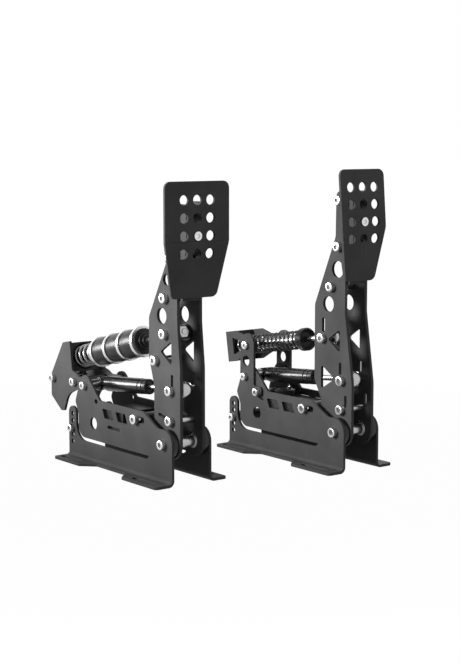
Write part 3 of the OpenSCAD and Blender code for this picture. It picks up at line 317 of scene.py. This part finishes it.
def lathed(solid, placed, profile, count=48, closed=False):
    # Rings of (distance along, radius or radius at each angle), skinned and capped
    loops = []
    for z, radius in profile:
        loop = []
        for i in range(count):
            angle = 2 * pi * i / count
            r = radius(i, angle) if callable(radius) else radius
            loop.append(solid.verts.new(placed @ Vector((r * cos(angle), r * sin(angle), z))))
        loops.append(loop)
    pairs = list(zip(loops, loops[1:])) + ([(loops[-1], loops[0])] if closed else [])
    for a, b in pairs:
        for i in range(count):
            j = (i + 1) % count
            solid.faces.new((a[i], a[j], b[j], b[i]))
    if not closed:
        solid.faces.new(loops[0][::-1])
        solid.faces.new(loops[-1])


def ring(solid, pedal, at, x0, x1, r, bore, edge=0.3):
    # A tube across the pedal with broken edges
    x0, x1 = sorted((x0, x1))
    lathed(solid, across(pedal, at), [(x0, bore), (x0, r - edge), (x0 + edge, r), (x1 - edge, r),
                                      (x1, r - edge), (x1, bore)], 72, closed=True)


for pedal in ("brake", "throttle"):
    dressed(pedal + "_base_bars", black_oxide, 0.3)
    solid = bmesh.new()
    for side in (-1, 1):
        ring(solid, pedal, pivot, side * (arm_out + 0.4), side * base_in, disc_r, shaft_r + 0.05,
             0.5)
    settle(pedal + "_pivot_disc_pair", solid, black_oxide, pedal + "_pivot_discs")
for node in ("housing_bars", "brake_barrel", "spring_seat"):
    dressed(node, black_oxide, 0.4)
# The front cup: a hub on the rod, a step, and the rim that holds the first washer
cup = [(-7, m6_hole), (-7, 5.5), (-6.5, 6), (-4.5, 6), (-4.5, 8.5), (-4, 9), (-2.6, 9),
       (-2.6, rubber_r - 2.2), (-2, rubber_r - 1.4), (0, rubber_r - 1.4), (0, m6_hole)]
solid = bmesh.new()
lathed(solid, along("brake", brake_pin, stack_tilt), [(stack_start + z, r) for z, r in cup], 96,
       closed=True)
settle("stack_cup_turned", solid, black_oxide, "stack_cup")

# --- Pivot shafts, bearing tubes, spacers and pins ---------------------------------------------
# Plain turned steel, left bright: silver with fine rings from the lathe tool round its axis. The
# rods of the dampers and of the throttle's spring end in a ball end on a pin.
turned_steel, tree, skin, place = surface(
    "turned_bright_steel", {"Base Color": linear("#b0b0b0"), "Metallic": 1, "Roughness": 0.24})
# The tool's real rings are 0.1 mm apart; drawn pi mm apart so that they show. The wave comes
# back every 2 pi / 20 of a unit.
rings = add(tree, "ShaderNodeTexWave", {"Scale": 2 * pi / 20 * per(pi), "Distortion": 0.4},
            {"Vector": place}, bands_direction="X")
relief = add(tree, "ShaderNodeBump", {"Strength": 0.08, "Distance": 0.0001},
             {"Height": rings.outputs["Fac"]})
tree.links.new(relief.outputs["Normal"], skin.inputs["Normal"])

crank_pin, damper_pin, throttle_pin = (13.5, 95), (160.5, 82.5), (43.6, 136.8)
# The damper's ball end is loose on its pin
damper_len, rod_r, neck_end, loose_hole = 88, 3, 23, 3.6
damper_run, damper_drop = damper_pin[0] - crank_pin[0], crank_pin[1] - damper_pin[1]
damper_tilt = atan2(damper_drop, damper_run) * 180 / pi
damper_reach = hypot(damper_run, damper_drop)
damper_start = damper_reach - damper_len
spring_tilt = 9.446


def hexagon(width):
    # The radius at each angle of a hexagon, from its width across flats
    return lambda i, angle: width / 2 / cos((angle % (pi / 3)) - pi / 6)


def rod_end(solid, pedal, at, tilt, hole):
    # A ball with flat cheeks on its pin, a round neck and a hexagon for the spanner
    ball, cheek, flats = 9, 5.5, 11.2
    bulge = [cheek * sin(pi / 2 * k / 12) for k in range(-12, 13)]
    lathed(solid, across(pedal, at), [(-cheek, hole)] + [(x, (ball ** 2 - x ** 2) ** 0.5)
           for x in bulge] + [(cheek, hole)], 72, closed=True)
    lathed(solid, along(pedal, at, tilt), [
        (7, 4.4), (18.6, 4.95), (19, 5.2), (19.2, hexagon(flats)), (22.6, hexagon(flats)),
        (neck_end, 5.2)])


def rod(solid, pedal, at, tilt, end):
    # The bright rod behind a ball end's neck
    lathed(solid, along(pedal, at, tilt), [(neck_end, rod_r - 0.3), (neck_end + 0.3, rod_r),
                                           (end - 0.3, rod_r), (end, rod_r - 0.3)])


for pedal in ("brake", "throttle"):
    for part in ("arm_spacers", "damper_pin"):
        dressed(pedal + "_" + part, turned_steel, 0.2)
    solid = bmesh.new()
    ring(solid, pedal, pivot, -base_in, base_in, shaft_r, m6_hole)
    settle(pedal + "_pivot_shaft_turned", solid, turned_steel,
           pedal + "_pivot_shaft")
    solid = bmesh.new()
    ring(solid, pedal, pivot, -arm_out, arm_out, 6, shaft_r + 0.05)
    for side in (-1, 1):
        ring(solid, pedal, pivot, side * (arm_in - 1), side * (arm_in - 0.02), 7.5, 5.9, 0.2)
    settle(pedal + "_bearing_tube_turned", solid, turned_steel,
           pedal + "_bearing_tube")
    solid = bmesh.new()
    rod(solid, pedal, crank_pin, damper_tilt, damper_start + 43)
    settle(pedal + "_damper_rod_turned", solid, turned_steel,
           pedal + "_damper_rod")
    solid = bmesh.new()
    rod_end(solid, pedal, crank_pin, damper_tilt, loose_hole)
    settle(pedal + "_damper_ball", solid, turned_steel, pedal + "_damper_eye")
solid = bmesh.new()
rod_end(solid, "throttle", throttle_pin, spring_tilt, m6_hole)
rod(solid, "throttle", throttle_pin, spring_tilt, 92)
settle("spring_rod_turned", solid, turned_steel, "spring_rod")
for node in ("brake_rod", "load_cell"):
    dressed(node, turned_steel, 0.3)

# --- Screws ------------------------------------------------------------------------------------
# Socket head cap screws in bright zinc: a knurled head with a turned rim, a hexagon socket in its
# face and a rolled thread. Each clamps a spacer, bar or pin through the plates. The plating is
# nearly white, with a faint bloom that dulls it in places.
zinc, tree, skin, place = surface(
    "bright_zinc_plate", {"Base Color": linear("#d2d2d2"), "Metallic": 1})
bloom = add(tree, "ShaderNodeTexNoise", {"Scale": per(2), "Detail": 2}, {"Vector": place})
dull = add(tree, "ShaderNodeMapRange", {"To Min": 0.2, "To Max": 0.38},
           {"Value": bloom.outputs["Fac"]})
tree.links.new(dull.outputs["Result"], skin.inputs["Roughness"])

# Dull steel plugs that fill the sockets: their dark colour is painted shade, the shade that falls
# into a socket, with a mottle that varies at random
socket_painted_shade, tree, skin, place = surface(
    "painted_socket_shade", {"Metallic": 0.5, "Roughness": 0.5})
socket_shade_mottle = add(tree, "ShaderNodeTexNoise", {"Scale": per(1.5), "Detail": 2}, {"Vector": place})
tone = add(tree, "ShaderNodeValToRGB", links={"Fac": socket_shade_mottle.outputs["Fac"]})
for stop, colour in zip(tone.color_ramp.elements, ("#303030", "#6a6a6a")):
    stop.color = linear(colour)
tree.links.new(tone.outputs["Color"], skin.inputs["Base Color"])

knurl_deep, thread_deep, thread_pitch = 0.22, 0.42, 1.0


def screw(solid, sockets, placed, size, reach):
    # The head's face looks along the axis, the shank runs the other way. A plug that fills the
    # socket to 1 mm under the face, its dark colour painted shade, goes into a piece of its own.
    # Without a reach there is only the head.
    head, high, thread = size
    rim, core, wide, floor = head / 2, thread / 2, 0.45 * head, 0.45 * high
    knurl = lambda i, angle: rim - (knurl_deep if i % 2 else 0)
    lathed(solid, placed, [
        (0, rim - 0.5), (0.3, rim - 0.15), (0.31, knurl), (high - 1.2, knurl),
        (high - 1.1, rim - 0.05), (high - 0.5, rim - 0.05), (high, rim - 0.55),
        (high, hexagon(wide + 0.5)), (high - 0.3, hexagon(wide)), (floor, hexagon(wide)),
        (floor - 0.6, 0.3)], 60)
    lathed(sockets, placed, [(floor, hexagon(wide - 0.1)), (high - 1, hexagon(wide - 0.1))], 60)
    if reach:
        rungs = [(0.2, core)]
        for n in range(ceil((reach - 1.2) / thread_pitch)):
            crest = -n * thread_pitch
            rungs += [(crest - 0.1, core), (crest - 0.55, core - thread_deep)]
        rungs += [(-reach + 0.7, core), (-reach, core - 0.7)]
        lathed(solid, placed, rungs[::-1], 20)


# A size is a head's width and height and the thread. A row has the screw's place, on the bases
# also the face under its head and its size, and last how far it reaches in.
large, small, trunnion_size = (10, 5.5, 6), (8.5, 5, 5), (9, 3.5, 6)
stop_bar, tab_hole, ear_hole, trunnion = (62.6, 60.2), (186.5, 33), (139, 67.8), (159.6, 117.5)
front_bar, rear_bar = (185.9, 83), (229.1, 82.3)
ear_out = base_out + 3
base_screws = {
    "brake": [(pivot, base_out, large, 13), (stop_bar, base_out, large, 13),
              (tab_hole, base_out, small, 9), (damper_pin, base_out, small, 11),
              (front_bar, base_in, small, 13), (rear_bar, base_in, small, 13)],
    "throttle": [(pivot, base_out, large, 13), (stop_bar, base_out, large, 13),
                 (tab_hole, base_out, small, 13), (damper_pin, ear_out, small, 14),
                 (ear_hole, ear_out, small, 10), (trunnion, ear_out, trunnion_size, 11)]}
in_spacer, right_through = 11.8, 30
arm_screws = {
    "brake": [((11, 271), in_spacer), ((12.5, 228), in_spacer), ((22.5, 187.04), in_spacer),
              (brake_pin, 9.9), ((38.9, 123), in_spacer), (crank_pin, right_through),
              ((13.5, 64.5), in_spacer)],
    "throttle": [((18.9, 281.5), in_spacer), ((19.5, 234), in_spacer),
                 ((30.1, 191.54), in_spacer), (throttle_pin, right_through),
                 (crank_pin, right_through), ((13.5, 64.5), in_spacer)]}
nut_at = {"brake": tab_hole, "throttle": ear_hole}
nut_high, nut_wide, nut_hole, nut_neck = 4, 7.8, 2.6, 3.7
collar_in, collar_r, collar_hole = 20.4, 5, 3.1
for pedal in ("brake", "throttle"):
    solid, sockets = bmesh.new(), bmesh.new()
    for at, face, size, reach in base_screws[pedal]:
        for side in (-1, 1):
            screw(solid, sockets, across(pedal, at, side * face, side), size, reach)
    settle(pedal + "_base_screw_set", solid, zinc, pedal + "_base_screws")
    # The plugs in the sockets, whose dark colour is painted shade
    settle(pedal + "_base_socket_shade", sockets, socket_painted_shade, pedal + "_base_screws",
           replacing=False)
    # The black hex nut inside on one screw, and on the throttle the collar round the carrier's
    # trunnion
    solid = bmesh.new()
    for side in (-1, 1):
        lathed(solid, across(pedal, nut_at[pedal], side * (base_in - nut_high), side), [
            (0, nut_hole), (0, nut_neck), (0.4, hexagon(nut_wide)),
            (nut_high - 0.4, hexagon(nut_wide)), (nut_high, nut_neck), (nut_high, nut_hole)],
            closed=True)
        if pedal == "throttle":
            ring(solid, pedal, trunnion, side * collar_in, side * base_out, collar_r, collar_hole)
    settle(pedal + "_base_nuts", solid, black_oxide, pedal + "_base_screws",
           replacing=False)
    solid, sockets = bmesh.new(), bmesh.new()
    for at, reach in arm_screws[pedal]:
        for side in (-1, 1):
            # One shank, from the left head, goes right through to the right head
            shank = 0 if reach == right_through and side > 0 else reach
            screw(solid, sockets, across(pedal, at, side * arm_out, side), large, shank)
    settle(pedal + "_arm_screw_set", solid, zinc, pedal + "_arm_screws")
    # The plugs in the sockets, whose dark colour is painted shade
    settle(pedal + "_arm_socket_shade", sockets, socket_painted_shade, pedal + "_arm_screws",
           replacing=False)
    dressed(pedal + "_pad_screw", zinc, 0.4)

# --- Dampers -----------------------------------------------------------------------------------
# Sealed hydraulic dampers: a drawn steel tube in gloss black enamel, with a crimped end cap and a
# narrower rear end on its pin. The enamel has flowed a little before it set, so its long
# highlights waver.
gloss_black, tree, skin, place = surface(
    "gloss_black_enamel",
    {"Base Color": linear("#101010"), "Roughness": 0.26, "Specular IOR Level": 0.32})
flow = add(tree, "ShaderNodeTexNoise", {"Scale": per(3), "Detail": 1}, {"Vector": place})
relief = add(tree, "ShaderNodeBump", {"Strength": 0.012, "Distance": 0.0002},
             {"Height": flow.outputs["Fac"]})
tree.links.new(relief.outputs["Normal"], skin.inputs["Normal"])
# The tube from its dished front with a crimped groove, past the cap's groove, to the narrow end
tube_r, neck_r, pin_hole = 8.25, 7.2, 4.05
front, cap, neck, end = damper_start, damper_reach - 75, damper_reach - 10, damper_reach - 3
tube = [
    (front + 1.5, m6_hole), (front + 1.5, tube_r - 3), (front, tube_r - 2.4),
    (front, tube_r - 1.2), (front + 1, tube_r - 0.2), (front + 5, tube_r - 0.2),
    (front + 5.4, tube_r - 0.9), (front + 6.4, tube_r - 0.9), (front + 6.8, tube_r - 0.2),
    (cap - 0.8, tube_r - 0.2), (cap - 0.5, tube_r - 0.8), (cap + 0.3, tube_r - 0.8),
    (cap + 0.9, tube_r), (neck - 1, tube_r), (neck, neck_r), (end, neck_r), (end, m6_hole)]
for pedal in ("brake", "throttle"):
    solid = bmesh.new()
    lathed(solid, along(pedal, crank_pin, damper_tilt), tube, 96, closed=True)
    ring(solid, pedal, damper_pin, -neck_r, neck_r, neck_r, pin_hole, 0.5)
    settle(pedal + "_damper_tube", solid, gloss_black, pedal + "_damper_body")

# --- Brake stack -------------------------------------------------------------------------------
# Three cast polyurethane elastomers between turned steel washers on the brake rod. The rubber is
# satin black with a soft sheen and bulges a little; the washers are bright zinc.
for n in (1, 2, 3, 4):
    z0 = stack_start + (4 - n) * (washer_t + rubber_len)
    z1 = z0 + washer_t
    solid = bmesh.new()
    lathed(solid, along("brake", brake_pin, stack_tilt), [
        (z0, m6_hole), (z0, washer_r - 0.8), (z0 + 0.2, washer_r - 0.3), (z0 + 0.7, washer_r),
        (z1 - 0.7, washer_r), (z1 - 0.2, washer_r - 0.3), (z1, washer_r - 0.8), (z1, m6_hole)],
        120, closed=True)
    settle("stack_washer_%d_turned" % n, solid, zinc, "stack_washer_%d" % n)

elastomer, tree, skin, place = surface(
    "cast_polyurethane", {"Base Color": linear("#0d0d0d"), "IOR": 1.36})
haze = add(tree, "ShaderNodeTexNoise", {"Scale": per(12), "Detail": 1}, {"Vector": place})
dull = add(tree, "ShaderNodeMapRange", {"To Min": 0.34, "To Max": 0.37},
           {"Value": haze.outputs["Fac"]})
tree.links.new(dull.outputs["Result"], skin.inputs["Roughness"])
rubber_hole, wall_steps = 4.7, 12


for n in (1, 2, 3):
    z0 = stack_start + (3 - n) * (washer_t + rubber_len) + washer_t
    z1 = z0 + rubber_len
    walls = [(z0 + 0.02, rubber_hole), (z0 + 0.02, rubber_r - 1.1), (z0 + 0.25, rubber_r - 0.6),
             (z0 + 0.8, rubber_r - 0.3)]
    for i in range(wall_steps + 1):
        walls.append((z0 + 1.4 + (rubber_len - 2.8) * i / wall_steps,
                      rubber_r - 0.12 + 0.42 * sin(pi * i / wall_steps)))
    walls += [(z1 - 0.8, rubber_r - 0.3), (z1 - 0.25, rubber_r - 0.6),
              (z1 - 0.02, rubber_r - 1.1), (z1 - 0.02, rubber_hole)]
    solid = bmesh.new()
    lathed(solid, along("brake", brake_pin, stack_tilt), walls, 72, closed=True)
    piece = settle("elastomer_%d_cast" % n, solid, elastomer, "elastomer_%d" % n)
    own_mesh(piece)


# --- Springs -----------------------------------------------------------------------------------
# Coiled from round spring wire, with closed and ground ends that sit flat on their seats. The
# brake's short stiff spring is blackened, the throttle's long one is oil-tempered and grey.
def coil(pedal, at, tilt, r, z0, z1, wire, turns):
    solid = bmesh.new()
    placed = along(pedal, at, tilt)
    sides, steps = 14, 40
    # Closed turns at each end lie hardly a wire apart, the free turns share what is left
    closed, close = 0.9, wire * 1.04
    free = (z1 - z0 - wire - 2 * closed * close) / (turns - 2 * closed)
    total = int(turns * steps)
    path = []
    for i in range(total + 1):
        t = turns * i / total
        z = z0 + wire / 2 + min(t, closed) * close \
            + max(0, min(t, turns - closed) - closed) * free + max(0, t - (turns - closed)) * close
        path.append((r * cos(2 * pi * t), r * sin(2 * pi * t), z))
    loops = []
    for i, (x, y, z) in enumerate(path):
        a, b = path[max(i - 1, 0)], path[min(i + 1, total)]
        rise = (b[2] - a[2]) / hypot(b[0] - a[0], b[1] - a[1])
        flat = 1 / hypot(1, rise)
        # One side of the wire looks outwards, the other along the spring, square to its run
        out = (x / r, y / r)
        up = (out[1] * rise * flat, -out[0] * rise * flat, flat)
        # The last quarter turn at each end is ground thinner
        ground = min(1.0, 0.35 + 0.65 * min(i, total - i) / (0.25 * steps))
        loop = []
        for k in range(sides):
            c, s = wire / 2 * cos(2 * pi * k / sides), wire / 2 * sin(2 * pi * k / sides) * ground
            loop.append(solid.verts.new(placed @ Vector(
                (x + c * out[0] + s * up[0], y + c * out[1] + s * up[1], z + s * up[2]))))
        loops.append(loop)
    for a, b in zip(loops, loops[1:]):
        for k in range(sides):
            solid.faces.new((a[k], b[k], b[(k + 1) % sides], a[(k + 1) % sides]))
    solid.faces.new(loops[0])
    solid.faces.new(loops[-1][::-1])
    return solid


# Dark wire that shines grey where light runs along a turn, with fine pits in the blacking
black_wire, tree, skin, place = surface(
    "blackened_spring_wire", {"Base Color": linear("#8a8a8a"), "Metallic": 1, "Roughness": 0.34})
pits = add(tree, "ShaderNodeTexNoise", {"Scale": per(1), "Detail": 2}, {"Vector": place})
relief = add(tree, "ShaderNodeBump", {"Strength": 0.06, "Distance": 0.0002},
             {"Height": pits.outputs["Fac"]})
tree.links.new(relief.outputs["Normal"], skin.inputs["Normal"])
# The brake's spring stands between the last washer and the seat's cup
spring_len = 45
stack_rear = stack_start + 3 * (washer_t + rubber_len) + washer_t
seat_at = stack_rear + spring_len
solid = coil("brake", brake_pin, stack_tilt, r=11.15, z0=stack_rear, z1=seat_at, wire=2.7, turns=6)
piece = settle("brake_spring_coil", solid, black_wire, "brake_spring")
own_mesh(piece)

# Grey wire with darker scale from its heat treatment
spring_wire, tree, skin, place = surface(
    "oil_tempered_spring_wire", {"Metallic": 1, "Roughness": 0.3})
scale = add(tree, "ShaderNodeTexNoise", {"Scale": per(3), "Detail": 3}, {"Vector": place})
tone = add(tree, "ShaderNodeValToRGB", links={"Fac": scale.outputs["Fac"]})
for stop, colour in zip(tone.color_ramp.elements, ("#343434", "#545454")):
    stop.color = linear(colour)
tree.links.new(tone.outputs["Color"], skin.inputs["Base Color"])
# The throttle's spring stands between the knob and the front of the carrier's web
knob_rear, web_front = 52, 160.095
solid = coil("throttle", throttle_pin, spring_tilt, r=9.5, z0=knob_rear, z1=web_front, wire=2,
             turns=16)
piece = settle("throttle_spring_coil", solid, spring_wire, "throttle_spring")
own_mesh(piece)

# --- Guide sleeve ------------------------------------------------------------------------------
# A ground and polished steel tube on the throttle's rod, inside its spring, which shows bright
# between the turns. Handling has left faint wipes on the polish.
polished, tree, skin, place = surface(
    "polished_steel_sleeve", {"Base Color": linear("#949494"), "Metallic": 1})
wipe = add(tree, "ShaderNodeTexNoise", {"Scale": per(8), "Detail": 2}, {"Vector": place})
dull = add(tree, "ShaderNodeMapRange", {"To Min": 0.16, "To Max": 0.28},
           {"Value": wipe.outputs["Fac"]})
tree.links.new(dull.outputs["Result"], skin.inputs["Roughness"])
sleeve_front, sleeve_rear, sleeve_r = 48.5, web_front + 2.5, 6
solid = bmesh.new()
lathed(solid, along("throttle", throttle_pin, spring_tilt), [
    (sleeve_front, m6_hole), (sleeve_front, sleeve_r - 0.3), (sleeve_front + 0.3, sleeve_r),
    (sleeve_rear - 0.3, sleeve_r), (sleeve_rear, sleeve_r - 0.3), (sleeve_rear, m6_hole)], 72,
    closed=True)
settle("guide_sleeve_turned", solid, polished, "guide_sleeve")

# --- Preload knob, sensor and signal box -------------------------------------------------------
# Moulded black nylon with a fine matt grain. The knob has a knurled grip and a dished front. The
# sensor's round stepped case is blackened metal, as the bars are.
nylon, tree, skin, place = surface(
    "moulded_black_nylon",
    {"Base Color": linear("#0b0b0b"), "Roughness": 0.4, "Specular IOR Level": 0.2})
# The mould's real grain is 0.1 mm; drawn at 0.5 mm so that it shows
grain = add(tree, "ShaderNodeTexNoise", {"Scale": per(0.5), "Detail": 2}, {"Vector": place})
relief = add(tree, "ShaderNodeBump", {"Strength": 0.12, "Distance": 0.0002},
             {"Height": grain.outputs["Fac"]})
tree.links.new(relief.outputs["Normal"], skin.inputs["Normal"])
knob_r, grip_deep, rod_hole, sleeve_hole = 12.5, 0.75, 3.2, sleeve_r + 0.1
grip = lambda i, angle: knob_r - (grip_deep if i % 4 in (0, 1) else 0)
solid = bmesh.new()
lathed(solid, along("throttle", throttle_pin, spring_tilt), [
    (47, rod_hole), (47, 7.6), (46.7, 8.1), (43.6, 10.6), (43.1, 10.9), (43, 11.2), (43.2, 11.5),
    (43.6, 11.8), (44, grip), (51, grip), (51.4, 11.8), (knob_rear, 11.2),
    (knob_rear, sleeve_hole), (sleeve_front, sleeve_hole), (sleeve_front, rod_hole)], 192,
    closed=True)
settle("spring_knob_grip", solid, nylon, "spring_knob")
dressed("sensor", black_oxide, 0.3)
dressed("signal_box", nylon, 0.6)

# --- Light for each pedal ----------------------------------------------------------------------
# The pedals were lit one by one, so each has a key of its own, and the brake throws no shadow on
# the throttle. The rim lamp draws the highlights on rubber, enamel and metal, not on the plates.
bpy.context.view_layer.update()
sides = {name: bpy.data.collections.new(name + "_side") for name in ("brake", "throttle")}
shiny = bpy.data.collections.new("shiny_pieces")
for thing in scene.objects:
    if thing.type != "MESH":
        continue
    corners = [thing.matrix_world @ Vector(corner) for corner in thing.bound_box]
    on_right = sum(corner.x for corner in corners) > 0.01
    sides["throttle" if on_right or thing == low_flag else "brake"].objects.link(thing)
    if thing.data.materials and thing.data.materials[0] not in (powder_coat, paper, glowing_card):
        shiny.objects.link(thing)
for name, side in sides.items():
    # The right base plate stands in the shade of the left one and its screws, bars and box
    lit = bpy.data.collections.new(name + "_lit")
    for thing in side.objects:
        if thing.name != name + "_base_right_part":
            lit.objects.link(thing)
    lamps[name + "_key"].light_linking.receiver_collection = lit
lamps["throttle_key"].light_linking.blocker_collection = sides["throttle"]
lamps["rim_lamp"].light_linking.receiver_collection = shiny
